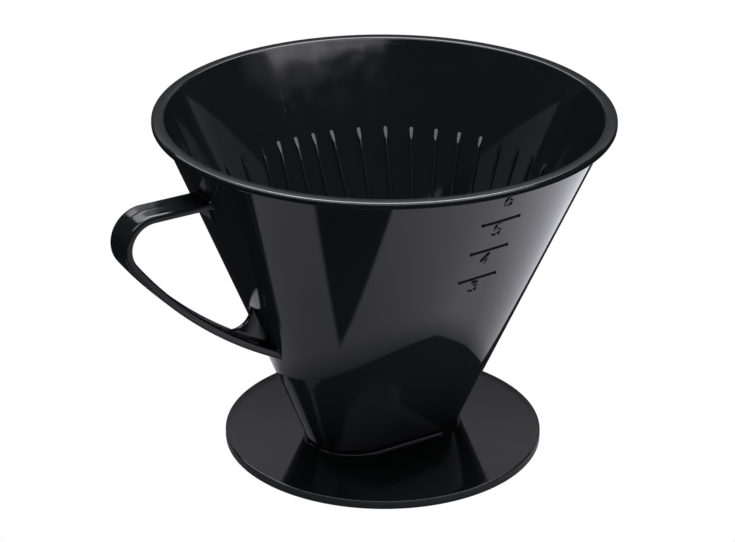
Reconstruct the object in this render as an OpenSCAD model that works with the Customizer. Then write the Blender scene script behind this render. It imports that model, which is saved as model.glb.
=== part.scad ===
// Pour over coffee dripper: a flared filter cone on a round base plate, with a
// strap handle at one side and a cup scale on the front.
// Origin: centre of the plate's underside. +Z up, handle towards -X, scale on the -Y face.

/* [Cone] */
// Outer radius of the pouring lip
lip_r = 84; // [80:0.5:90]
// Height from the plate's underside to the top of the lip
height = 130.4; // [124:0.1:140]
// Outer radius of the cone's wall where it meets the lip
cone_top_r = 81; // [78:0.1:81.5]
// Half length of the straight sides of the oval foot
foot_straight = 13.5; // [10:0.1:16]
// Radius of the round ends of the oval foot
foot_r = 18.3; // [16:0.1:21]
// Level thickness of the cone's wall
wall_t = 2.4; // [1.8:0.1:2.8]
// Height of the upright collar between the plate and the cone
collar_h = 2; // [1:0.1:4]

/* [Lip] */
// Thickness of the flat lip
lip_t = 2.3; // [1.8:0.1:3.5]
// Rounding of the lip's outer top edge
lip_round = 1.4; // [0.4:0.1:1.6]

/* [Drain ribs] */
// Height of the ribs' upper ends above the plate's underside
rib_top = 99; // [70:1:112]
// Width of one rib
rib_w = 1.3; // [0.8:0.1:1.8]
// How far a rib stands out from the wall, measured level
rib_h = 1.2; // [0.6:0.1:1.6]
// Spacing of the five parallel ribs on the front and on the back
rib_pitch = 7.75; // [6:0.05:8.5]
// Angle between neighbouring ribs that fan round the two ends
rib_fan_step = 10; // [7.5,9,10,15]

/* [Base plate] */
// Radius of the base plate
plate_r = 59.8; // [50:0.1:66]
// Height of the plate's edge
plate_edge_h = 3.3; // [2.8:0.1:5]
// Thickness of the plate inside its edge
plate_t = 2; // [1.4:0.1:2.4]
// Rounding of the plate's top edge
plate_round = 0.9; // [0.3:0.1:1.2]
// Outer radius of the ring under the plate that centres it on a pot
ring_r = 43; // [38:0.5:48]

/* [Drip holes] */
// Radius of each drip hole
hole_r = 2.5; // [2.1:0.1:3]
// Distance between neighbouring drip holes
hole_pitch = 14; // [11:0.5:15]
// Wall thickness of the spouts under the drip holes
spout_t = 1.5; // [1:0.1:2]

/* [Handle] */
// Distance from the cone's axis to the outermost point of the handle
handle_reach = 109; // [104:0.5:116]
// Distance from the lip's top down to the top of the handle
handle_drop = 16.4; // [12:0.1:20]
// Width of the handle's strap
strap_w = 12; // [9:0.5:16]
// Thickness of the handle's strap
strap_t = 3; // [2.4:0.1:4]
// Outer radius of the handle's upper bend
bend_r = 12; // [9:0.5:14]
// Outer radius of the long sweep back to the cone
sweep_r = 164; // [150:1:190]
// Slope at which the strap leaves the bend, measured from the vertical
sweep_lean = 36.5; // [34:0.5:38]
// Thickness of the two webs in the handle's corners
web_t = 2; // [1.4:0.1:3]

/* [Cup scale] */
// Height of the line for five cups
five_cup_z = 115.5; // [110:0.5:117]
// Height difference between neighbouring lines
cup_step = 13.4; // [12:0.1:14]
// Length of one line
line_len = 15.6; // [12:0.2:18]
// Lift of the lines towards their right ends, in degrees
line_tilt = 3; // [0:0.5:5]
// How far lines and numerals stand out from the wall
mark_h = 0.5; // [0.3:0.1:0.8]

/* [Hidden] */
$fn = 96;

black = [0.05, 0.05, 0.055];
past = 1;                                  // how far a cutting shape runs past a face
foot_z = plate_edge_h + collar_h;          // where the collar ends and the cone starts
lip_z = height - lip_t;                    // underside of the lip
flare = (cone_top_r - foot_r) / (lip_z - foot_z);
floor_t = collar_h;
fan_x = 2 * rib_pitch;                     // centre about which the end ribs fan out
end_ribs = floor(89.9 / rib_fan_step);     // fanned ribs at each side of an end's middle
skirt_w = 2;                               // width of the plate's turned-down edge
ring_w = 1.6;
handle_z = height - handle_drop;
bend_c = [bend_r - handle_reach, handle_z - bend_r];
sweep_dir = [cos(sweep_lean), sin(sweep_lean)];
sweep_c = bend_c + (sweep_r - bend_r) * sweep_dir;
sweep_turn = 32;                           // enough to end inside the cone
hand_gap_r = sweep_r - strap_t;
numeral_w = 3;
numeral_h = 4.6;
numeral_drop = 4.5;                        // from a line down to its numeral's middle
mark_stroke = 0.8;
line_end_r = 0.75;
top_numeral_z = lip_z - numeral_h / 2 - mark_stroke / 2 - 0.1;

// Straight half length and radius of the cone's oval section at height z.
function straight_at(z) = max(0, foot_straight * (lip_z - z) / (lip_z - foot_z));
function radius_at(z) = foot_r + flare * (z - foot_z);
// Where the handle end of the cone's outside stands at height z.
function wall_x(z) = -(straight_at(z) + radius_at(z));
function arc(c, r, from, to, steps) =
    [for (i = [0:steps]) c + r * [cos(from + (to - from) * i / steps),
                                  sin(from + (to - from) * i / steps)]];

// Flat oval: two half circles joined by straight sides.
module oval(straight, r) {
    if (straight > 0) square([2 * straight, 2 * r], center = true);
    for (side = [-1, 1]) translate([side * straight, 0]) circle(r);
}

module cone_section(z, inset) {
    translate([0, 0, z])
        linear_extrude(0.01)
            oval(straight_at(z), radius_at(z) - inset);
}

// Solid cone between two heights, its surface moved in by a level inset.
module cone_solid(from, to, inset = 0) {
    hull() {
        cone_section(from, inset);
        cone_section(to - 0.01, inset);
    }
}

module cone_wall() {
    color(black)
        difference() {
            cone_solid(foot_z, lip_z);
            cone_solid(foot_z - past, lip_z + past, wall_t);
        }
}

// Flat ring that carries the wall's inner slope up to the lip's top.
module pouring_lip() {
    inner_low = cone_top_r - wall_t;
    inner_high = inner_low + flare * lip_t;
    outer_low_round = 0.4;
    color(black)
        rotate_extrude()
            polygon(concat(
                [[inner_low, lip_z], [lip_r - outer_low_round, lip_z],
                 [lip_r, lip_z + outer_low_round]],
                arc([lip_r - lip_round, height - lip_round], lip_round, 0, 90, 6),
                [[inner_high + 0.3, height], [inner_high, height - 0.3]]));
}

module foot_collar() {
    low = plate_edge_h - plate_t;
    color(black)
        translate([0, 0, low])
            linear_extrude(foot_z - low)
                difference() {
                    oval(foot_straight, foot_r);
                    oval(foot_straight, foot_r - wall_t);
                }
}

module drip_holes(r, low, high) {
    for (i = [-1:1])
        translate([i * hole_pitch, 0, low])
            cylinder(r = r, h = high - low);
}

module filter_floor() {
    color(black)
        difference() {
            translate([0, 0, foot_z - floor_t])
                linear_extrude(floor_t)
                    oval(foot_straight, foot_r - wall_t);
            drip_holes(hole_r, 0, foot_z + past);
        }
}

module drip_spouts() {
    color(black)
        difference() {
            drip_holes(hole_r + spout_t, 0, foot_z - floor_t);
            drip_holes(hole_r, -past, foot_z);
        }
}

// Thin disc with a turned-down edge and an oval hole for the collar.
module base_plate() {
    skin_z = plate_edge_h - plate_t;
    color(black)
        difference() {
            rotate_extrude()
                polygon(concat(
                    [[0, skin_z], [plate_r - skirt_w, skin_z], [plate_r - skirt_w, 0],
                     [plate_r, 0]],
                    arc([plate_r - plate_round, plate_edge_h - plate_round],
                        plate_round, 0, 90, 6),
                    [[0, plate_edge_h]]));
            translate([0, 0, -past])
                linear_extrude(plate_edge_h + 2 * past)
                    oval(foot_straight, foot_r);
        }
}

module centring_ring() {
    color(black)
        difference() {
            cylinder(r = ring_r, h = plate_edge_h - plate_t);
            translate([0, 0, -past])
                cylinder(r = ring_r - ring_w, h = plate_edge_h + past);
        }
}

// Extrudes an outline drawn in X and Z evenly to both sides of the handle's plane.
module across_handle(width) {
    translate([0, width / 2, 0])
        rotate([90, 0, 0])
            linear_extrude(width)
                children();
}

// Area inside the strap's outer edge, or inside its inner edge, up to the cone's axis.
module handle_area(inset) {
    bend_end = 180 + sweep_lean;
    polygon(concat(
        [[-foot_r, handle_z - inset]],
        arc(bend_c, bend_r - inset, 90, bend_end, 16),
        arc(sweep_c, sweep_r - inset, bend_end, bend_end + sweep_turn, 20)));
}

module handle_strap() {
    color(black)
        difference() {
            across_handle(strap_w)
                difference() {
                    handle_area(0);
                    handle_area(strap_t);
                }
            cone_solid(foot_z, lip_z);
        }
}

// Thin web that fills the corner under the handle's top, with a hollow long side.
module upper_handle_web() {
    roof = handle_z - strap_t;
    reach = 6.5;
    depth = 12;
    hollow_r = 22;
    corner = [wall_x(roof), roof];
    tip = corner - [reach, 0];
    toe = [wall_x(roof - depth), roof - depth];
    middle = (tip + toe) / 2;
    outwards = [tip[1] - toe[1], toe[0] - tip[0]] / norm(tip - toe);
    bulge = sqrt(hollow_r * hollow_r - pow(norm(tip - toe) / 2, 2));
    color(black)
        difference() {
            across_handle(web_t)
                difference() {
                    polygon([tip, corner + [reach, 0], toe + [reach, 0], toe]);
                    translate(middle - bulge * outwards) circle(hollow_r);
                }
            cone_solid(foot_z, lip_z);
        }
}

// Thin web that rounds the sharp corner between the strap's sweep and the cone.
module lower_handle_web() {
    hollow_r = 7.5;
    hollow_z = 67;
    hollow_x = wall_x(hollow_z) - hollow_r;
    color(black)
        difference() {
            across_handle(web_t)
                difference() {
                    intersection() {
                        handle_area(strap_t);
                        translate([hollow_x, 0])
                            square([abs(hollow_x) - foot_r, hollow_z]);
                    }
                    translate([hollow_x, hollow_z]) circle(hollow_r);
                }
            cone_solid(foot_z, lip_z);
        }
}

// Skin of the given height on the inside of the wall, from the floor to the ribs' tops.
module rib_skin() {
    difference() {
        cone_solid(foot_z, rib_top, wall_t);
        cone_solid(foot_z - past, rib_top + past, wall_t + rib_h);
    }
}

module rib_blade() {
    translate([0, -rib_w / 2, 0]) cube([lip_r, rib_w, rib_top]);
}

module side_ribs(side) {
    intersection() {
        rib_skin();
        for (i = [-2:2])
            translate([i * rib_pitch, 0, 0]) rotate(side * 90) rib_blade();
    }
}

module end_ribs_fan(side) {
    intersection() {
        rib_skin();
        translate([side * fan_x, 0, 0])
            for (i = [-end_ribs:end_ribs])
                rotate(90 - side * 90 + i * rib_fan_step) rib_blade();
    }
}

module front_ribs() {
    color(black) side_ribs(-1);
}

module back_ribs() {
    color(black) side_ribs(1);
}

module handle_end_ribs() {
    color(black) end_ribs_fan(-1);
}

module far_end_ribs() {
    color(black) end_ribs_fan(1);
}

// Raises an outline drawn in X and Z from the front of the cone.
module on_front_wall() {
    intersection() {
        rotate([90, 0, 0]) linear_extrude(lip_r) children();
        difference() {
            cone_solid(foot_z, lip_z, -mark_h);
            cone_solid(foot_z - past, lip_z + past);
        }
    }
}

// Straight stroke with round ends from a to b.
module stroke(a, b) {
    run = b - a;
    translate(a)
        rotate(atan2(run[1], run[0]))
            translate([0, -mark_stroke / 2])
                square([norm(run), mark_stroke]);
    for (p = [a, b]) translate(p) circle(mark_stroke / 2);
}

// Path of a numeral in a box one unit wide and one unit high.
function numeral_path(cups) =
    cups == 3 ? [[0, 1], [1, 1], [0.4, 0.6], [1, 0.5], [1, 0.1], [0.8, 0], [0, 0]] :
    cups == 4 ? [[0.75, 0], [0.75, 1], [0, 0.3], [1, 0.3]] :
    cups == 5 ? [[1, 1], [0, 1], [0, 0.55], [0.8, 0.55], [1, 0.4], [1, 0.15], [0.8, 0], [0, 0]] :
                [[1, 1], [0.2, 1], [0, 0.8], [0, 0], [1, 0], [1, 0.5], [0, 0.5]];

module numeral(cups) {
    size = [numeral_w, numeral_h];
    path = [for (p = numeral_path(cups)) [(p[0] - 0.5) * size[0], (p[1] - 0.5) * size[1]]];
    for (i = [1:len(path) - 1]) stroke(path[i - 1], path[i]);
}

function line_z(cups) = five_cup_z + (cups - 5) * cup_step;

module cup_lines() {
    color(black)
        on_front_wall()
            for (cups = [3:5])
                translate([0, line_z(cups)])
                    rotate(line_tilt) {
                        square([line_len, mark_stroke], center = true);
                        for (end = [-1, 1])
                            translate([end * (line_len / 2 - line_end_r), 0])
                                circle(line_end_r);
                    }
}

module cup_numerals() {
    color(black)
        on_front_wall()
            for (cups = [3:6])
                translate([0, min(line_z(cups) - numeral_drop, top_numeral_z)])
                    numeral(cups);
}

cone_wall();
pouring_lip();
filter_floor();
drip_spouts();
foot_collar();
base_plate();
centring_ring();
handle_strap();
upper_handle_web();
lower_handle_web();
front_ribs();
back_ribs();
handle_end_ribs();
far_end_ribs();
cup_lines();
cup_numerals();
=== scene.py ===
"""Pour over dripper in glossy black plastic: a ribbed filter cone on a round plate."""
import math

import bmesh
import bpy
from mathutils import Matrix, Vector


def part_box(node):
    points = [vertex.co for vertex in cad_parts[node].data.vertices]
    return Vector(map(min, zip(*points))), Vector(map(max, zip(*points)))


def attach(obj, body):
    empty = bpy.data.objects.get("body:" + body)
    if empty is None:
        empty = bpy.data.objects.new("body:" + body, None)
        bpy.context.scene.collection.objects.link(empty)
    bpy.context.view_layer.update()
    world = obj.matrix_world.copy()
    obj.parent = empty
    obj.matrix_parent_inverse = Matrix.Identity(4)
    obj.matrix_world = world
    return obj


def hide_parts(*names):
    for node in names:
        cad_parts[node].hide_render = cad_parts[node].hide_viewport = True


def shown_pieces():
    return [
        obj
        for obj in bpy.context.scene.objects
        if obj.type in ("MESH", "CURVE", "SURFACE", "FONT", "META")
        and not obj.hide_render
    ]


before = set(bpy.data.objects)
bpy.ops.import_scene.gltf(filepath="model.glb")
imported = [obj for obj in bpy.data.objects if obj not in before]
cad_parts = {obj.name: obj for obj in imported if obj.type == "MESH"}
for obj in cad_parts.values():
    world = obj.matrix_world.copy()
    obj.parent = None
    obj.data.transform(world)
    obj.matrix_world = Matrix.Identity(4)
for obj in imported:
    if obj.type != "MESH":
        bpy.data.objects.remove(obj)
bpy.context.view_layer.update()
MM = 0.001


# ---- Sizes, taken from the CAD frame where a node gives them ----

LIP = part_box("pouring_lip")
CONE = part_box("cone_wall")
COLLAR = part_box("foot_collar")
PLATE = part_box("base_plate")
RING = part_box("centring_ring")
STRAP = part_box("handle_strap")
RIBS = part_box("front_ribs")
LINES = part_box("cup_lines")

lip_r = LIP[1].x
top_z = LIP[1].z
cone_top_z = CONE[1].z
cone_foot_z = CONE[0].z
cone_top_r = CONE[1].x
foot_r = COLLAR[1].y
foot_straight = COLLAR[1].x - foot_r
plate_r = PLATE[1].x
plate_z = PLATE[1].z
skin_z = COLLAR[0].z
rib_top_z = RIBS[1].z
strap_w = STRAP[1].y - STRAP[0].y
strap_top_z = STRAP[1].z
handle_x = STRAP[0].x

# No box gives these. They repeat part.scad, except that the ribs are slightly wider and lower here.
wall_t = 2.4 * MM
rib_w = 1.35 * MM
rib_h = 1.1 * MM
rib_pitch = 7.75 * MM
fan_step = math.radians(10)
strap_t = 3.0 * MM
bend_r = 12.0 * MM
sweep_r = 164.0 * MM
sweep_lean = math.radians(36.5)
hole_r = 2.5 * MM
hole_pitch = 14 * MM
spout_t = 1.5 * MM
flare = (cone_top_r - foot_r) / (cone_top_z - cone_foot_z)


def straight_at(z):
    """Half length of the straight sides of the cone's section at height z."""
    rise = (cone_top_z - z) / (cone_top_z - cone_foot_z)
    return max(0.0, foot_straight * rise)


def radius_at(z):
    """Radius of the round ends of the cone's section at height z."""
    return foot_r + flare * (z - cone_foot_z)


def wall_slope(towards_end):
    """How far the wall leans out per unit of height: 0 asks for the front, 1 or -1 for an end."""
    return flare - foot_straight / (cone_top_z - cone_foot_z) * abs(towards_end)


# ---- Mesh helpers ----

def linked(name, data):
    """An object for a mesh, a camera or a lamp, linked to the scene."""
    thing = bpy.data.objects.new(name, data)
    bpy.context.scene.collection.objects.link(thing)
    return thing


def mesh_piece(name, points, faces, sharp=40.0):
    """A smooth-shaded mesh object whose edges over the given angle stay sharp."""
    mesh = bpy.data.meshes.new(name)
    mesh.from_pydata([tuple(p) for p in points], [], faces)
    work = bmesh.new()
    work.from_mesh(mesh)
    bmesh.ops.remove_doubles(work, verts=work.verts, dist=1e-7)
    bmesh.ops.recalc_face_normals(work, faces=work.faces)
    for face in work.faces:
        face.smooth = True
    for edge in work.edges:
        edge.smooth = edge.calc_face_angle(math.pi) < math.radians(sharp)
    work.to_mesh(mesh)
    work.free()
    return linked(name, mesh)


def oval_ring(straight, radius, z, steps=240):
    """Points round an oval, starting at +X; a circle where straight is zero."""
    ring = []
    for i in range(steps):
        turn = 2 * math.pi * (i + 0.5) / steps
        side = 1 if math.cos(turn) > 0 else -1
        ring.append(Vector((side * straight + radius * math.cos(turn),
                            radius * math.sin(turn), z)))
    return ring


def tube_faces(ring_count, steps, closed_rings):
    """Quads that join each ring of points to the next."""
    faces = []
    for r in range(ring_count if closed_rings else ring_count - 1):
        here = r * steps
        there = (r + 1) % ring_count * steps
        for i in range(steps):
            j = (i + 1) % steps
            faces.append((here + i, here + j, there + j, there + i))
    return faces


def closed_shell(name, rings, sharp=40.0):
    """A ring-shaped solid: each ring of points is joined to the next, and the last to the first."""
    points = [p for ring in rings for p in ring]
    return mesh_piece(name, points, tube_faces(len(rings), len(rings[0]), True), sharp)


def arc(cx, cz, radius, start, end, steps):
    """Points of a flat arc, from one angle to another, in degrees."""
    turns = [math.radians(start + (end - start) * i / steps) for i in range(steps + 1)]
    return [(cx + radius * math.cos(t), cz + radius * math.sin(t)) for t in turns]


def finish_piece(piece, *nodes):
    """Gives a piece its place in the frame: attaches it to the root body and hides the CAD nodes it
    stands for.
    """
    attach(piece, "root")
    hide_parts(*nodes)
    return piece


def capped_loft(name, rings, sharp=40.0):
    """A solid swept through closed rings of points, with a flat cap at each end."""
    steps = len(rings[0])
    points = [p for ring in rings for p in ring]
    faces = tube_faces(len(rings), steps, False)
    faces.append(tuple(range(steps)))
    last = (len(rings) - 1) * steps
    faces.append(tuple(last + i for i in reversed(range(steps))))
    return mesh_piece(name, points, faces, sharp)


def joined(name, parts):
    """One piece made of several solids, which keep their sharp edges."""
    points = []
    faces = []
    sharp_pairs = set()
    for part in parts:
        base = len(points)
        points += [v.co.copy() for v in part.data.vertices]
        faces += [tuple(base + i for i in f.vertices) for f in part.data.polygons]
        sharp_attr = part.data.attributes.get("sharp_edge")
        for edge in part.data.edges:
            if sharp_attr and sharp_attr.data[edge.index].value:
                sharp_pairs.add(tuple(sorted(base + i for i in edge.vertices)))
        bpy.data.objects.remove(part)
    mesh = bpy.data.meshes.new(name)
    mesh.from_pydata([tuple(p) for p in points], [], faces)
    work = bmesh.new()
    work.from_mesh(mesh)
    for face in work.faces:
        face.smooth = True
    for edge in work.edges:
        edge.smooth = tuple(sorted(v.index for v in edge.verts)) not in sharp_pairs
    work.to_mesh(mesh)
    work.free()
    return linked(name, mesh)


def lathe(name, profile, centre=(0.0, 0.0), steps=240, sharp=40.0):
    """A ring turned about a vertical axis from a closed profile of (radius, height) points."""
    turns = [2 * math.pi * (i + 0.5) / steps for i in range(steps)]
    rings = []
    for r, z in profile:
        rings.append([Vector((centre[0] + r * math.cos(t), centre[1] + r * math.sin(t), z))
                      for t in turns])
    return closed_shell(name, rings, sharp)


def rounded_box_profile(r_in, r_out, low, high, soft):
    """Closed (radius, height) profile of a ring of rectangular section with soft edges."""
    profile = []
    for r, z, start in ((r_in + soft, low + soft, 270), (r_in + soft, high - soft, 180),
                        (r_out - soft, high - soft, 90), (r_out - soft, low + soft, 0)):
        profile += arc(r, z, soft, start, start - 90, 4)
    return profile


def round_holed_slab(name, outline, holes, levels, sharp=30.0):
    """A slab with holes: outline and holes give loops for an inset, levels lists (height, inset)."""
    work = bmesh.new()
    stacks = []
    for make in [outline] + holes:
        loops = []
        for z, inset in levels:
            loops.append([work.verts.new((p.x, p.y, z)) for p in make(inset)])
        stacks.append(loops)
        for low, high in zip(loops[:-1], loops[1:]):
            for i in range(len(low)):
                j = (i + 1) % len(low)
                work.faces.new((low[i], low[j], high[j], high[i]))
    for level in (0, -1):
        edges = []
        for loops in stacks:
            loop = loops[level]
            for i in range(len(loop)):
                edges.append(work.edges.get((loop[i], loop[(i + 1) % len(loop)])))
        bmesh.ops.triangle_fill(work, use_beauty=True, edges=edges)
    bmesh.ops.recalc_face_normals(work, faces=work.faces)
    for face in work.faces:
        face.smooth = True
    for edge in work.edges:
        edge.smooth = edge.calc_face_angle(math.pi) < math.radians(sharp)
    mesh = bpy.data.meshes.new(name)
    work.to_mesh(mesh)
    work.free()
    return linked(name, mesh)


# ---- Camera at the photograph's angle ----

CAMERA_AZIMUTH = math.radians(-32.6)


def make_camera():
    """Camera fitted to the outlines in the photo."""
    distance = 0.8735
    height = 0.4704
    pitch = math.radians(90 - 24.781)
    turn = math.radians(-32.21)
    roll = math.radians(0.145)
    data = bpy.data.cameras.new("camera")
    data.lens = 127.03
    data.sensor_width = 36
    data.clip_start = 0.05
    data.clip_end = 50
    camera = linked("camera", data)
    place = Vector((distance * math.sin(CAMERA_AZIMUTH), -distance * math.cos(CAMERA_AZIMUTH),
                    height))
    camera.matrix_world = (Matrix.Translation(place) @ Matrix.Rotation(turn, 4, "Z")
                           @ Matrix.Rotation(pitch, 4, "X") @ Matrix.Rotation(roll, 4, "Z"))
    bpy.context.scene.camera = camera


make_camera()


# ---- Cone, lip, collar and floor ----

STEPS = 288
HOLE_STEPS = 64


def make_cone_wall():
    """Ruled shell between the oval foot and the round mouth."""
    spans = 24
    rings = []
    heights = [cone_foot_z + (cone_top_z - cone_foot_z) * i / spans for i in range(spans + 1)]
    for z in heights:
        rings.append(oval_ring(straight_at(z), radius_at(z), z, STEPS))
    for z in reversed(heights):
        rings.append(oval_ring(straight_at(z), radius_at(z) - wall_t, z, STEPS))
    return closed_shell("cone_wall_shell", rings)


def make_lip():
    """Flat ring with a rounded outer edge; its inner face carries on the wall's own slope."""
    soft_in = 0.85 * MM
    soft_low = 0.4 * MM
    soft_out = 1.05 * MM
    low_in = cone_top_r - wall_t
    rings = []
    outer = [(lip_r - soft_low, cone_top_z)]
    outer += arc(lip_r - soft_low, cone_top_z + soft_low, soft_low, -60, 0, 3)
    outer += arc(lip_r - soft_out, top_z - soft_out, soft_out, 0, 90, 12)
    thickness = top_z - cone_top_z
    turns = 6
    for r, z in outer:
        rings.append(oval_ring(0, r, z, STEPS))
    inner = []
    for i in range(turns + 1):
        ring = []
        for p in oval_ring(0, 1.0, 0, STEPS):
            slope = wall_slope(p.x)
            lean = math.atan(slope)
            t = math.pi / 2 + (math.pi / 2 - lean) * i / turns
            r = low_in + slope * (thickness - soft_in) + soft_in / math.cos(lean)
            r += soft_in * math.cos(t)
            ring.append(Vector((p.x * r, p.y * r, top_z - soft_in + soft_in * math.sin(t))))
        inner.append(ring)
    rings += inner
    low_ring = oval_ring(0, low_in, cone_top_z, STEPS)
    support = 0.1
    rings.append([a.lerp(b, support) for a, b in zip(inner[-1], low_ring)])
    rings.append(low_ring)
    return closed_shell("pouring_lip_ring", rings, 50)


def make_collar():
    """Upright oval band between plate and cone, with a small fillet where it meets the plate."""
    fillet = 0.15 * MM
    rings = [oval_ring(foot_straight, foot_r - wall_t, skin_z, STEPS),
             oval_ring(foot_straight, foot_r - wall_t, cone_foot_z, STEPS),
             oval_ring(foot_straight, foot_r, cone_foot_z, STEPS)]
    for r, z in arc(foot_r + fillet, plate_z + fillet, fillet, 180, 270, 6):
        rings.append(oval_ring(foot_straight, r, z, STEPS))
    rings.append(oval_ring(foot_straight, foot_r + fillet, plate_z - fillet / 3, STEPS))
    rings.append(oval_ring(foot_straight, foot_r, skin_z, STEPS))
    return closed_shell("foot_collar_band", rings)


def hole_loop(x, radius):
    """Circle of points round a drip hole at x."""
    turns = [2 * math.pi * i / HOLE_STEPS for i in range(HOLE_STEPS)]
    return [Vector((x + radius * math.cos(t), radius * math.sin(t), 0)) for t in turns]


def make_floor():
    """Oval floor inside the foot, with three drip holes whose upper edges are softened."""
    soft = 0.25 * MM
    levels = [(plate_z, 0.0), (cone_foot_z - soft, 0.0), (cone_foot_z - soft * 0.3, soft * 0.3),
              (cone_foot_z, soft)]
    holes = [lambda inset, x=i * hole_pitch: hole_loop(x, hole_r + inset) for i in (-1, 0, 1)]
    return round_holed_slab(
        "filter_floor_slab",
        lambda inset: oval_ring(foot_straight, foot_r - wall_t, 0, STEPS), holes, levels)


def make_spouts():
    """Short tubes under the drip holes."""
    profile = rounded_box_profile(hole_r, hole_r + spout_t, 0, plate_z, 0.25 * MM)
    return joined("drip_spout_tubes",
                  [lathe(f"spout_{i}", profile, (i * hole_pitch, 0), HOLE_STEPS)
                   for i in (-1, 0, 1)])


# ---- Base plate and ring ----

def make_plate():
    """Round plate with an oval hole for the collar and a short skirt round its edge."""
    skirt = 2.0 * MM
    soft = 0.6 * MM
    low_soft = 0.3 * MM
    spans = 8
    hole = oval_ring(foot_straight, foot_r, 0, STEPS)
    rim = oval_ring(0, 1.0, 0, STEPS)
    inner_top = plate_r - soft
    inner_low = plate_r - skirt

    def between(share, rim_r, z):
        """Ring of points that lies a share of the way from the hole to the rim."""
        return [Vector((h.x + (r.x * rim_r - h.x) * share, h.y + (r.y * rim_r - h.y) * share, z))
                for h, r in zip(hole, rim)]

    rings = [between(s / spans, inner_top, plate_z) for s in range(spans + 1)]
    for r, z in arc(plate_r - soft, plate_z - soft, soft, 90, 0, 10)[1:]:
        rings.append([Vector((p.x * r, p.y * r, z)) for p in rim])
    edge = arc(plate_r - low_soft, low_soft, low_soft, 0, -90, 4)
    edge += arc(inner_low + low_soft, low_soft, low_soft, 270, 180, 4)
    for r, z in edge:
        rings.append([Vector((p.x * r, p.y * r, z)) for p in rim])
    rings += [between(1 - s / spans, inner_low, skin_z) for s in range(spans + 1)]
    return closed_shell("base_plate_disc", rings, 35)


def make_ring():
    """Ring under the plate that centres the dripper on a pot."""
    ring_t = 1.6 * MM
    profile = rounded_box_profile(RING[1].x - ring_t, RING[1].x, 0, skin_z, 0.3 * MM)
    return lathe("centring_ring_band", profile)


# ---- Drain ribs on the inside of the wall ----

def inner_wall_from(x0, direction, z):
    """Where a level line from (x0, 0) meets the inside of the wall at height z."""
    a = straight_at(z)
    r = radius_at(z) - wall_t
    near = 0.0
    far = 2 * lip_r
    for _ in range(40):
        mid = (near + far) / 2
        x = x0 + direction[0] * mid
        y = direction[1] * mid
        out = math.hypot(max(abs(x) - a, 0.0), y) - r
        if out > 0:
            far = mid
        else:
            near = mid
    return Vector((x0 + direction[0] * near, direction[1] * near, z))


def wall_normal(point):
    """Direction square to the wall at a point, facing outwards."""
    a = straight_at(point.z)
    side = math.copysign(1.0, point.x)
    flat = Vector((max(abs(point.x) - a, 0.0) * side, point.y, 0))
    flat.normalize()
    normal = Vector((flat.x, flat.y, -wall_slope(flat.x)))
    normal.normalize()
    return normal


def make_rib(name, x0, direction):
    """Half-round rib that ends above in a flat slope down to the wall."""
    ramp = 4.3 * MM
    sunk = 0.25 * MM
    spare = 0.02 * MM
    turns = 10
    spans = 14
    ramp_spans = 22
    full = rib_h * math.cos(math.atan(flare))
    ramp_z = rib_top_z - ramp
    heights = [cone_foot_z + (ramp_z - cone_foot_z) * i / spans for i in range(spans)]
    heights += [ramp_z + ramp * i / ramp_spans for i in range(ramp_spans + 1)]
    rings = []
    for z in heights:
        here = inner_wall_from(x0, direction, z)
        ahead = inner_wall_from(x0, direction, z + MM)
        inwards = -wall_normal(here)
        along = (ahead - here).normalized()
        across = along.cross(inwards).normalized()
        left = (rib_top_z - z) / ramp
        limit = full * min(1.0, left)
        nose = min(1.0, (rib_top_z - z) / (rib_w * 0.55))
        half = rib_w / 2 * math.sqrt(max(0.0, 1 - (1 - nose) ** 2)) + spare
        ring = [here - inwards * sunk - across * half]
        for i in range(turns + 1):
            t = math.pi * i / turns
            lift = min(full * math.sin(t) ** 0.8, limit)
            ring.append(here - across * half * math.cos(t) + inwards * lift)
        ring.append(here - inwards * sunk + across * half)
        rings.append(ring)
    return capped_loft(name, rings, 28)


def make_ribs():
    """Level rows of ribs at the front and the back, and a fan of them at each end."""
    row = 2
    fan = 8
    fan_x = row * rib_pitch
    for side, name in ((-1, "front"), (1, "back")):
        parts = [make_rib(f"{name}_rib_{i}", i * rib_pitch, (0.0, float(side)))
                 for i in range(-row, row + 1)]
        finish_piece(joined(f"{name}_drain_ribs", parts), f"{name}_ribs")
    for side, name in ((-1, "handle_end"), (1, "far_end")):
        parts = [make_rib(f"{name}_rib_{i}", side * fan_x,
                          (side * math.cos(i * fan_step), math.sin(i * fan_step)))
                 for i in range(-fan, fan + 1)]
        finish_piece(joined(f"{name}_drain_ribs", parts), f"{name}_ribs")


# ---- Handle ----

def wall_x(z):
    """Where the cone's outside crosses the handle's plane at height z."""
    return -(straight_at(z) + radius_at(z))


bend_c = Vector((handle_x + bend_r, strap_top_z - bend_r))
sweep_c = bend_c + (sweep_r - bend_r) * Vector((math.cos(sweep_lean), math.sin(sweep_lean)))
flat_len = 40.0 * MM
bend_len = bend_r * (math.pi / 2 + sweep_lean)


def strap_frame(t):
    """Point on the strap's outer edge line and its outward direction, at distance t along it."""
    if t < flat_len:
        return Vector((bend_c.x + flat_len - t, strap_top_z)), Vector((0.0, 1.0))
    if t < flat_len + bend_len:
        turn = math.pi / 2 + (t - flat_len) / bend_r
        out = Vector((math.cos(turn), math.sin(turn)))
        return bend_c + out * bend_r, out
    turn = math.pi + sweep_lean + (t - flat_len - bend_len) / sweep_r
    out = Vector((math.cos(turn), math.sin(turn)))
    return sweep_c + out * sweep_r, out


def strap_point(t, depth, y):
    """Point of the strap at distance t, at a depth under its outer face and at y across it."""
    place, out = strap_frame(t)
    place = place - out * depth
    return Vector((place.x, y, place.y))


def into_wall(point):
    """How far a point lies inside the cone's outside, measured level; negative outside it."""
    a = straight_at(point.z)
    return radius_at(point.z) - math.hypot(max(abs(point.x) - a, 0.0), point.y)


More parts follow.
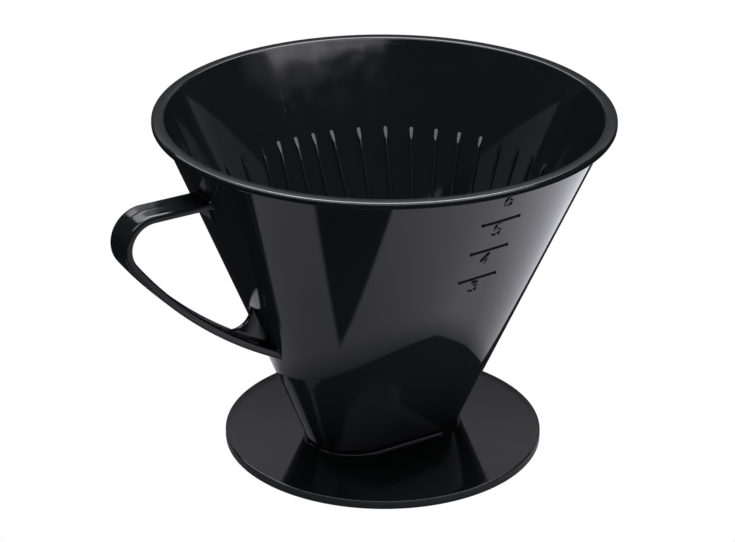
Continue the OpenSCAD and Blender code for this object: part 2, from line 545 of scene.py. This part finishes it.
def strap_section():
    """Closed section of the strap as (depth, y): rounded edges and a fine parting ridge."""
    edge = 0.7 * MM
    half = strap_w / 2
    ridge = 0.16 * MM
    lift = 0.03 * MM
    outer = [(lift, share * half) for share in (-0.75, -0.45, -0.2)]
    outer += [(lift, -ridge), (0.0, 0.0), (lift, ridge)]
    outer += [(lift, share * half) for share in (0.2, 0.45, 0.75)]
    corners = []
    for cy, cd, start in ((half - edge, edge, 0), (half - edge, strap_t - edge, 90),
                          (-half + edge, strap_t - edge, 180), (-half + edge, edge, 270)):
        for i in range(7):
            t = math.radians(start + 15 * i)
            d = cd - edge * math.cos(t)
            corners.append((d + lift if d < 2 * edge else d, cy + edge * math.sin(t)))
    return outer + corners


def make_strap():
    """Strap bent from the wall under the lip, round the top bend and back down to the cone."""
    deep = 1.1 * MM
    fillet = 0.6 * MM
    root_flare = 0.45 * fillet
    corner_power = 9
    sweep_turn = math.radians(32)
    section = strap_section()
    sweep_end = flat_len + bend_len + sweep_r * sweep_turn
    middle = flat_len + bend_len / 2
    half = strap_w / 2

    def reach(depth, y, outside, inside):
        """Distance along the strap at which a line of its section meets the wall."""
        for _ in range(40):
            mid = (outside + inside) / 2
            if into_wall(strap_point(mid, depth, y)) > 0:
                inside = mid
            else:
                outside = mid
        return outside

    starts = [reach(d, y, middle, 0.0) for d, y in section]
    ends = [reach(d, y, middle, sweep_end) for d, y in section]
    centre_d = strap_t / 2
    gaps = [n * MM for n in (0.0, 0.05, 0.12, 0.22, 0.35, 0.5, 0.65, 1.0, 2.0, 3.2)]
    rings = []

    def ring_at(places, flare_by):
        """Adds one ring of the strap, widened all round by the given amount."""
        ring = []
        for (d, y), t in zip(section, places):
            away = Vector((max(-1.0, min(1.0, (d - centre_d) / centre_d)),
                           max(-1.0, min(1.0, y / half)) ** corner_power))
            if away.length > 1:
                away.normalize()
            ring.append(strap_point(t, d + away.x * flare_by, y + away.y * flare_by))
        rings.append(ring)

    def flare_for(gap):
        """How much the fillet widens the strap at a gap from the wall."""
        if gap >= fillet:
            return 0.0
        round_by = fillet - math.sqrt(max(0.0, fillet ** 2 - (fillet - gap) ** 2))
        return min(root_flare, round_by)

    ring_at([s - deep for s in starts], root_flare)
    for gap in gaps:
        ring_at([s + gap for s in starts], flare_for(gap))
    first = [s + gaps[-1] for s in starts]
    last = [e - gaps[-1] for e in ends]
    spans = 130
    for i in range(1, spans):
        ring_at([a + (b - a) * i / spans for a, b in zip(first, last)], 0.0)
    for gap in reversed(gaps):
        ring_at([e - gap for e in ends], flare_for(gap))
    ring_at([e + deep for e in ends], root_flare)
    return capped_loft("handle_strap_band", rings, 50)


def make_web(name, edge, corner, web_t=2.0 * MM):
    """Thin web from a hollow edge line back to a corner; edge is a list of (x, z) points."""
    half = web_t / 2
    soft = 0.35 * MM
    rings = []
    for x, z in edge:
        back = Vector((corner[0] - x, corner[1] - z))
        size = back.length
        back.normalize()
        profile = [(0.0, -half + soft), (0.0, half - soft), (soft * 0.3, half - soft * 0.3),
                   (soft, half), (size * 0.5, half), (size, half), (size, -half),
                   (size * 0.5, -half), (soft, -half), (soft * 0.3, -half + soft * 0.3)]
        rings.append([Vector((x + back.x * s, y, z + back.y * s)) for s, y in profile])
    return capped_loft(name, rings, 35)


def make_upper_web():
    """Web in the corner under the strap's upper root, with a hollow free edge."""
    roof = strap_top_z - strap_t
    reach = 6.5 * MM
    depth = 12.0 * MM
    hollow_r = 22.0 * MM
    tip = Vector((wall_x(roof) - reach, roof))
    toe = Vector((wall_x(roof - depth), roof - depth))
    middle = (tip + toe) / 2
    outwards = Vector((tip.y - toe.y, toe.x - tip.x)).normalized()
    bulge = math.sqrt(hollow_r ** 2 - ((tip - toe).length / 2) ** 2)
    centre = middle - bulge * outwards
    from_turn = math.atan2(tip.y - centre.y, tip.x - centre.x)
    to_turn = math.atan2(toe.y - centre.y, toe.x - centre.x)
    spare = 0.045
    spans = 24
    sunk = 1.0 * MM
    edge = []
    for i in range(spans + 1):
        t = from_turn + spare + (to_turn - from_turn - 2 * spare) * i / spans
        edge.append((centre.x + hollow_r * math.cos(t), centre.y + hollow_r * math.sin(t)))
    return make_web("upper_web_blade", edge, (wall_x(roof) + sunk, roof + sunk))


def make_lower_web():
    """Web in the corner between the strap's lower root and the wall, with a hollow free edge."""
    hollow_r = 7.5 * MM
    hollow_z = 67.0 * MM
    spare = 0.05
    spans = 28
    step_down = 0.25 * MM
    sunk_x = 0.8 * MM
    sunk_z = 0.4 * MM
    centre = Vector((wall_x(hollow_z) - hollow_r, hollow_z))
    towards = centre - sweep_c
    start = math.atan2(towards.y, towards.x)
    edge = []
    for i in range(spans + 1):
        t = start - spare + (-start + 2 * spare) * i / spans
        edge.append((centre.x + hollow_r * math.cos(t), centre.y + hollow_r * math.sin(t)))
    strap_in = sweep_r - strap_t
    z = hollow_z
    for _ in range(60):
        x = wall_x(z)
        if math.hypot(x - sweep_c.x, z - sweep_c.y) > strap_in:
            break
        z -= step_down
    return make_web("lower_web_blade", edge, (wall_x(z) + sunk_x, z - sunk_z))


# ---- Cup scale on the front ----

def on_wall(x, z, lift):
    """Point of the front wall at x and height z, lifted square to the wall."""
    a = straight_at(z)
    r = radius_at(z)
    y = -math.sqrt(r * r - max(abs(x) - a, 0.0) ** 2)
    point = Vector((x, y, z))
    return point + wall_normal(point) * lift


def smooth_path(points, rounds=2):
    """Cuts the corners of an open path, and leaves its two ends in place."""
    for _ in range(rounds):
        cut = [points[0]]
        for a, b in zip(points[:-1], points[1:]):
            cut.append(a * 0.75 + b * 0.25)
            cut.append(a * 0.25 + b * 0.75)
        cut.append(points[-1])
        points = cut
    return points


def raised_stroke(name, points, widths, profile, height=0.5 * MM):
    """Bead that follows a path of (x, z) points on the front wall; it is higher where it is wider."""
    rings = []
    sunk = -0.3 * height
    most_lift = 1.5
    usual_w = widths[len(widths) // 2]
    section = [(-1.0, sunk)] + [(s, up * height) for s, up in profile] + [(1.0, sunk)]
    for k, p in enumerate(points):
        before = points[max(k - 1, 0)]
        after = points[min(k + 1, len(points) - 1)]
        run = (after - before).normalized()
        across = Vector((-run.y, run.x))
        half = widths[k] / 2
        ring = []
        for share, lift in section:
            q = p + across * half * share
            ring.append(on_wall(q.x, q.y, lift * min(most_lift, widths[k] / usual_w)))
        rings.append(ring)
    return capped_loft(name, rings, 14)


# Sections across a stroke, as (share of the half width, share of the height).
LINE_PROFILE = ((-1.0, 0.45), (-0.9, 1.0), (-0.7, 1.0), (0.6, 0.03), (1.0, 0.0))
NUMERAL_PROFILE = ((-1.0, 0.0), (-0.5, 0.95), (0.4, 1.0), (1.0, 0.0))
# Middle lines of the numerals, as shares of their width and height.
NUMERAL_PATHS = {
    3: ((0, 1), (0.95, 1), (0.4, 0.58), (0.85, 0.55), (1, 0.3), (0.85, 0), (0.35, 0), (0, 0.12)),
    4: ((0.72, 0), (0.72, 1), (0, 0.3), (1, 0.3)),
    5: ((0.95, 1), (0.1, 1), (0.02, 0.52), (0.75, 0.6), (1, 0.35), (0.85, 0), (0.3, 0), (0, 0.1)),
    6: ((0.9, 1), (0.3, 0.9), (0, 0.45), (0.1, 0), (0.85, 0), (1, 0.45), (0.55, 0.58), (0.06, 0.4)),
}


def scale_line(cups, z):
    """Slightly tilted line with a thickened, rounded end on each side."""
    stroke_w = 1.15 * MM
    blob_w = 1.9 * MM
    blob_len = 1.6 * MM
    nose_len = 0.75 * MM
    nose_start = 0.12 * MM
    tilt = math.radians(3)
    half = (LINES[1].x - LINES[0].x) / 2
    run = Vector((math.cos(tilt), math.sin(tilt)))
    half_spans = 20
    path = []
    widths = []
    for i in range(2 * half_spans + 1):
        share = i / half_spans - 1
        path.append(Vector((0, z)) + run * half * share)
        gap = half - abs(share) * half
        blob = blob_w * max(0.0, 1 - gap / blob_len) ** 0.5
        nose = min(1.0, (gap + nose_start) / nose_len)
        widths.append(max(stroke_w, blob) * math.sqrt(1 - (1 - nose) ** 2))
    return raised_stroke(f"line_{cups}", path, widths, LINE_PROFILE)


def scale_numeral(cups, z):
    """One numeral with its middle at height z; only the 4 keeps its corners."""
    size = Vector((3.0, 4.6)) * MM
    stroke_w = 0.9 * MM
    cuts = 4
    points = [Vector(((x - 0.5) * size.x, z + (y - 0.5) * size.y)) for x, y in NUMERAL_PATHS[cups]]
    points = smooth_path(points, 0 if cups == 4 else 2)
    dense = []
    for a, b in zip(points[:-1], points[1:]):
        dense += [a + (b - a) * k / cuts for k in range(cuts)]
    dense.append(points[-1])
    return raised_stroke(f"numeral_{cups}", dense, [stroke_w] * len(dense), NUMERAL_PROFILE)


def make_marks():
    """Lines for 3, 4 and 5 cups, and a numeral under each line and under the lip."""
    step = 13.4 * MM
    five_z = 115.5 * MM
    drop = 4.5 * MM
    heights = {cups: five_z + (cups - 5) * step for cups in NUMERAL_PATHS}
    lines = [scale_line(cups, z) for cups, z in heights.items() if cups < 6]
    digits = [scale_numeral(cups, z - drop) for cups, z in heights.items()]
    finish_piece(joined("cup_scale_lines", lines), "cup_lines")
    finish_piece(joined("cup_scale_numerals", digits), "cup_numerals")


finish_piece(make_cone_wall(), "cone_wall")
finish_piece(make_lip(), "pouring_lip")
finish_piece(make_collar(), "foot_collar")
finish_piece(make_floor(), "filter_floor")
finish_piece(make_spouts(), "drip_spouts")
finish_piece(make_plate(), "base_plate")
finish_piece(make_ring(), "centring_ring")
make_ribs()
finish_piece(make_strap(), "handle_strap")
finish_piece(make_upper_web(), "upper_handle_web")
finish_piece(make_lower_web(), "lower_handle_web")
make_marks()


# ---- Black plastic ----

def calc(tree, operation, a, b=0.0, c=0.0):
    """One math node; inputs are numbers or sockets."""
    node = tree.nodes.new("ShaderNodeMath")
    node.operation = operation
    for socket, value in zip(node.inputs, (a, b, c)):
        if isinstance(value, bpy.types.NodeSocket):
            tree.links.new(value, socket)
        else:
            socket.default_value = value
    return node.outputs["Value"]


def fade(tree, value, start, end, low=0.0, high=1.0):
    """Smooth step of a socket between two values."""
    node = tree.nodes.new("ShaderNodeMapRange")
    node.interpolation_type = "SMOOTHSTEP"
    tree.links.new(value, node.inputs["Value"])
    for key, number in (("From Min", start), ("From Max", end), ("To Min", low), ("To Max", high)):
        node.inputs[key].default_value = number
    return node.outputs["Result"]


def black_plastic(name, smoothest, roughest, ripple, grain=(1.0, 1.0, 1.0)):
    """Moulded black plastic: uneven shine, rubbed edges, faint ripples, scratches and a few specks.

    The roughness lies between smoothest and roughest, ripple is a height in mm, and grain
    stretches the streaks along the object's axes.
    """
    darker = (0.0128, 0.0146, 0.0158, 1)
    lighter = (0.0156, 0.0174, 0.0186, 1)
    rubbed_grey = (0.045, 0.045, 0.05, 1)
    edge_reach = 0.4 * MM
    most_rubbed = 0.6
    dulled = 0.12
    speck_height = 0.12
    scratch_depth = 0.004
    grain_depth = 0.02 * ripple
    material = bpy.data.materials.new(name)
    material.use_nodes = True
    tree = material.node_tree
    nodes = tree.nodes
    links = tree.links
    shader = nodes["Principled BSDF"]
    shader.inputs["IOR"].default_value = 1.5
    place = nodes.new("ShaderNodeTexCoord")

    def noise(scale, detail, stretch=(1.0, 1.0, 1.0)):
        """Noise in the object's own metres, stretched along its axes."""
        mapping = nodes.new("ShaderNodeMapping")
        mapping.inputs["Scale"].default_value = stretch
        links.new(place.outputs["Object"], mapping.inputs["Vector"])
        pattern = nodes.new("ShaderNodeTexNoise")
        pattern.inputs["Scale"].default_value = scale
        pattern.inputs["Detail"].default_value = detail
        links.new(mapping.outputs["Vector"], pattern.inputs["Vector"])
        return pattern.outputs["Fac"]

    tint = nodes.new("ShaderNodeMix")
    tint.data_type = "RGBA"
    tint.inputs["A"].default_value = darker
    tint.inputs["B"].default_value = lighter
    links.new(noise(60, 3), tint.inputs["Factor"])
    softened = nodes.new("ShaderNodeBevel")
    softened.samples = 4
    softened.inputs["Radius"].default_value = edge_reach
    plain = nodes.new("ShaderNodeNewGeometry")
    match = nodes.new("ShaderNodeVectorMath")
    match.operation = "DOT_PRODUCT"
    links.new(softened.outputs["Normal"], match.inputs[0])
    links.new(plain.outputs["Normal"], match.inputs[1])
    worn = calc(tree, "MULTIPLY", fade(tree, match.outputs["Value"], 0.995, 0.93),
                fade(tree, noise(260, 2), 0.56, 0.68))
    rubbed = nodes.new("ShaderNodeMix")
    rubbed.data_type = "RGBA"
    rubbed.inputs["B"].default_value = rubbed_grey
    links.new(tint.outputs["Result"], rubbed.inputs["A"])
    links.new(calc(tree, "MULTIPLY", worn, most_rubbed), rubbed.inputs["Factor"])
    links.new(rubbed.outputs["Result"], shader.inputs["Base Color"])

    scratch = fade(tree, noise(420, 2, (1.0, 0.07, 0.25)), 0.68, 0.78)
    streak = noise(160, 3, grain)
    shine = fade(tree, streak, 0.3, 0.75, smoothest, roughest)
    shine = calc(tree, "MULTIPLY_ADD", scratch, dulled, shine)
    shine = calc(tree, "MULTIPLY_ADD", worn, dulled, shine)
    links.new(shine, shader.inputs["Roughness"])

    speck = nodes.new("ShaderNodeTexVoronoi")
    speck.inputs["Scale"].default_value = 75
    links.new(place.outputs["Object"], speck.inputs["Vector"])
    rare = fade(tree, noise(23, 1), 0.6, 0.66)
    dots = calc(tree, "MULTIPLY", fade(tree, speck.outputs["Distance"], 0.035, 0.015), rare)
    height = calc(tree, "MULTIPLY", dots, speck_height)
    height = calc(tree, "MULTIPLY_ADD", noise(14, 1), ripple, height)
    height = calc(tree, "MULTIPLY_ADD", streak, grain_depth, height)
    height = calc(tree, "MULTIPLY_ADD", scratch, -scratch_depth, height)
    bump = nodes.new("ShaderNodeBump")
    bump.inputs["Strength"].default_value = 1.0
    bump.inputs["Distance"].default_value = MM
    links.new(height, bump.inputs["Height"])
    links.new(bump.outputs["Normal"], shader.inputs["Normal"])
    return material


polished = black_plastic("black_plastic_polished", 0.04, 0.075, 0.02)
handled = black_plastic("black_plastic_handled", 0.12, 0.19, 0.03, (0.15, 2.5, 0.15))
plate_finish = black_plastic("black_plastic_plate", 0.06, 0.11, 0.03)
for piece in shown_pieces():
    finish = polished
    if piece.name.startswith(("handle_strap", "upper_web", "lower_web")):
        finish = handled
    if piece.name.startswith(("base_plate", "centring", "drip", "pouring_lip")):
        finish = plate_finish
    piece.data.materials.clear()
    piece.data.materials.append(finish)


# ---- Floor and light ----

def product(tree, first, *others):
    """Several sockets or numbers multiplied together."""
    for other in others:
        first = calc(tree, "MULTIPLY", first, other)
    return first


def largest(tree, first, *others):
    """The largest of several sockets or numbers."""
    for other in others:
        first = calc(tree, "MAXIMUM", first, other)
    return first


def flat_distance(tree, x, y):
    """Distance from the point where the sockets x and y are both zero."""
    return calc(tree, "SQRT", calc(tree, "ADD", product(tree, x, x), product(tree, y, y)))


def stage_only(thing, camera_sees, gloss_sees, lights_it):
    """Makes a mesh part of the stage, and says which kinds of ray meet it."""
    thing.visible_camera = camera_sees
    thing.visible_glossy = gloss_sees
    thing.visible_diffuse = lights_it
    thing.visible_shadow = False
    thing.visible_transmission = False


def stage_card(name, points, material, camera_sees=False, gloss_sees=True, lights_it=False):
    """Flat card whose points run along one edge and back along the other."""
    count = len(points)
    faces = [(i, i + 1, count - 2 - i, count - 1 - i) for i in range(count // 2 - 1)]
    card = mesh_piece(name, points, faces)
    card.data.materials.append(material)
    stage_only(card, camera_sees, gloss_sees, lights_it)


def glowing(name, strength, colour=(0.97, 0.96, 1.06, 1)):
    """Material that glows evenly; returns it with its node tree and glow node for shading it."""
    material = bpy.data.materials.new(name)
    material.use_nodes = True
    tree = material.node_tree
    tree.nodes.clear()
    glow = tree.nodes.new("ShaderNodeEmission")
    glow.inputs["Color"].default_value = colour
    glow.inputs["Strength"].default_value = strength
    end = tree.nodes.new("ShaderNodeOutputMaterial")
    tree.links.new(glow.outputs["Emission"], end.inputs["Surface"])
    return material, tree, glow


def place_sockets(tree):
    """Sockets for the x, y and z of the shaded point."""
    where = tree.nodes.new("ShaderNodeNewGeometry")
    parts = tree.nodes.new("ShaderNodeSeparateXYZ")
    tree.links.new(where.outputs["Position"], parts.inputs["Vector"])
    return parts.outputs["X"], parts.outputs["Y"], parts.outputs["Z"]


STAGE_REACH = 6.0


def square(z):
    """Corners of the level square that the floor and the light table fill."""
    return [(-STAGE_REACH, -STAGE_REACH, z), (STAGE_REACH, -STAGE_REACH, z),
            (STAGE_REACH, STAGE_REACH, z), (-STAGE_REACH, STAGE_REACH, z)]


def make_surround():
    """Plain white floor and surround, which only the camera sees."""
    white, _, _ = glowing("white_surround", 1.0, (1, 1, 1, 1))
    stage_card("floor", square(0), white, camera_sees=True, gloss_sees=False)
    inner = STAGE_REACH
    outer = STAGE_REACH + 0.1
    sill = -0.01
    gap = 0.01
    dome = lathe("surround", [(inner, sill), (inner, inner), (gap, inner), (gap, outer),
                              (outer, outer), (outer, sill)], steps=64)
    dome.data.materials.append(white)
    stage_only(dome, camera_sees=True, gloss_sees=False, lights_it=False)


def painted_dark_patches(tree, x, y, out):
    """Where painted dark patches lie on the reflected floor: 0 in the open, 1 in a patch."""
    soft = 0.006
    front_edge = -0.021
    back_edge = 0.045
    slant = calc(tree, "MULTIPLY_ADD", y, 0.058, x)
    across_line = calc(tree, "MULTIPLY_ADD", x, -0.217, y)
    front = product(tree, fade(tree, slant, -0.061, -0.065),
                    fade(tree, across_line, front_edge, front_edge - soft))
    leaf = flat_distance(tree, calc(tree, "ADD", x, 0.008), y)
    left_back = product(tree, fade(tree, leaf, 0.101, 0.1025),
                        fade(tree, y, back_edge, back_edge + soft), fade(tree, x, 0.06, 0.03))
    past_line = calc(tree, "MULTIPLY_ADD", x, -0.6, y)
    right_back = product(tree, fade(tree, past_line, -0.053, -0.049), fade(tree, x, 0.03, 0.05))
    near_line = calc(tree, "MULTIPLY_ADD", x, 0.1, y)
    near_left = product(tree, fade(tree, near_line, 0.016, 0.021),
                        fade(tree, x, -0.078, -0.084), fade(tree, y, 0.056, 0.05))
    beyond = fade(tree, out, 0.235, 0.26)
    return largest(tree, front, left_back, right_back, near_left, beyond)


def make_painted_floor_reflection():
    """Glowing card that the gloss reflects in place of the floor, painted with the floor's light and
    shade: painted shade darkens it near the object, and it is brighter outwards and to the right.
    """
    rise_x = 2.5
    rise_y = -0.96
    rise_out = 4.76
    middle_level = 0.187
    least = 0.3
    most = 1.45
    sunk = 0.0004
    table, tree, glow = glowing("painted_floor_reflection", 1.0)
    x, y, _ = place_sockets(tree)
    out = flat_distance(tree, x, y)
    # Painted light and shade of the floor: brighter to the right and outwards, darker near the object.
    level = calc(tree, "MULTIPLY_ADD", x, rise_x, middle_level)
    level = calc(tree, "MULTIPLY_ADD", y, rise_y, level)
    level = calc(tree, "MULTIPLY_ADD", out, rise_out, level)
    extra_behind = fade(tree, y, 0.04, 0.06, 0.0, 0.3)
    level = calc(tree, "ADD", level, extra_behind)
    level = calc(tree, "MINIMUM", calc(tree, "MAXIMUM", level, least), most)
    # Painted shadow on the reflected floor round the foot of the plate.
    painted_plate_shadow = fade(tree, out, 0.057, 0.074, 0.3, 1.0)
    # Painted dark patches are cut out of the reflected floor's glow.
    open_part = calc(tree, "SUBTRACT", 1.0, painted_dark_patches(tree, x, y, out))
    less_in_front = fade(tree, y, -0.125, -0.17, 1.0, 0.4)
    level = product(tree, level, painted_plate_shadow, open_part, less_in_front)
    faint_front = fade(tree, y, -0.16, -0.22, 0.012, 0.06)
    level = calc(tree, "MAXIMUM", level, faint_front)
    tree.links.new(level, glow.inputs["Strength"])
    stage_card("painted_floor_reflection", square(-sunk), table, lights_it=True)


def sky_direction(azimuth, elevation):
    """Direction at angles in degrees; azimuth 0 is the camera's side, 90 is the camera's right."""
    az = math.radians(azimuth) + CAMERA_AZIMUTH
    el = math.radians(elevation)
    return Vector((math.sin(az) * math.cos(el), -math.cos(az) * math.cos(el), math.sin(el)))


def facing(azimuth, elevation, distance, width, height):
    """Corners of a card that faces the object's middle."""
    out = sky_direction(azimuth, elevation)
    az = math.radians(azimuth) + CAMERA_AZIMUTH
    side = Vector((math.cos(az), math.sin(az), 0)) * width / 2
    up = side.cross(out).normalized() * height / 2
    if up.z < 0:
        up = -up
    centre = Vector((0, 0, 0.07)) + out * distance
    return [centre - side - up, centre + side - up, centre + side + up, centre - side + up]


def sky_strip(edge, top, distance=1.4):
    """Corners of a card seen from the back of the cone: a lower edge, then one at the top."""
    eye = Vector((0.02, 0.074, 0.122))
    corners = list(edge) + [(azimuth, top) for azimuth, _ in reversed(edge)]
    return [eye + distance * sky_direction(azimuth, elevation) for azimuth, elevation in corners]


def make_cards():
    """Cards that only the gloss reflects; an edge lists (azimuth, elevation) in degrees."""
    back, tree, glow = glowing("back_card", 1.0)
    _, _, z = place_sockets(tree)
    tree.links.new(fade(tree, z, 0.64, 0.76, 0.12, 0.46), glow.inputs["Strength"])
    stage_card("back_card", facing(180, 16, distance=1.5, width=2.8, height=0.95), back)

    top, tree, glow = glowing("top_card", 1.0)
    x, y, _ = place_sockets(tree)
    forward = calc(tree, "MULTIPLY_ADD", x, -0.539, calc(tree, "MULTIPLY", y, -0.842))
    tree.links.new(fade(tree, forward, -0.9, -0.45, 5.0, 11.0), glow.inputs["Strength"])
    stage_card("top_card", facing(180, 66, distance=1.2, width=1.0, height=1.1), top)

    left, _, _ = glowing("left_card", 3.0)
    stage_card("left_card", facing(-152, 47, distance=1.3, width=0.8, height=0.55), left)

    front, _, _ = glowing("front_strip", 3.2)
    edge = [(azimuth, 36) for azimuth in range(-95, 86, 10)]
    stage_card("front_strip", sky_strip(edge, 56), front)

    side, _, _ = glowing("side_card", 2.7)
    edge = ((-8, 31.5), (2.6, 29.3), (14, 29.65), (26, 29.85), (35, 29.6), (42, 29.2), (45, 29.1),
            (50.5, 28.8), (56.7, 28.3), (64.7, 27.1), (70, 26.3), (74, 26.4), (78, 28))
    stage_card("side_card", sky_strip(edge, 35.9), side)

    haze_level = 0.32
    haze, tree, glow = glowing("side_haze", haze_level)
    edge = ((39, 28.7), (45, 28.3), (50, 28), (57, 27.4), (65, 26.1), (72, 24.2), (79, 22), (88, 18.5))
    x, _, _ = place_sockets(tree)
    tree.links.new(fade(tree, x, 1.22, 0.95, 0.0, haze_level), glow.inputs["Strength"])
    stage_card("side_haze", sky_strip(edge, 30, 1.5), haze)

    faint, _, _ = glowing("faint_card", 0.25)
    stage_card("faint_card", sky_strip(((-63, 20.2), (-56, 22.3), (-47, 24.2)), 40), faint)


def soft_lamp(name, size, energy, z, turn=0.0):
    """Square lamp that lights the matt part of the plastic and isn't seen or reflected."""
    data = bpy.data.lights.new(name, "AREA")
    data.shape = "RECTANGLE"
    data.size = size
    data.size_y = size
    data.energy = energy
    lamp = linked(name, data)
    lamp.location = (0, 0, z)
    lamp.rotation_euler = (turn, 0, 0)
    lamp.visible_camera = False
    lamp.visible_glossy = False


def make_world():
    """Dim grey world light."""
    world = bpy.data.worlds.new("studio")
    world.use_nodes = True
    world.node_tree.nodes["Background"].inputs["Color"].default_value = (0.041, 0.039, 0.045, 1)
    bpy.context.scene.world = world


make_surround()
make_painted_floor_reflection()
make_world()
make_cards()
soft_lamp("soft_top", size=1.2, energy=11.5, z=1.25)
soft_lamp("soft_under", size=1.6, energy=2.2, z=-0.0002, turn=math.pi)
bpy.context.scene.view_settings.view_transform = "Standard"
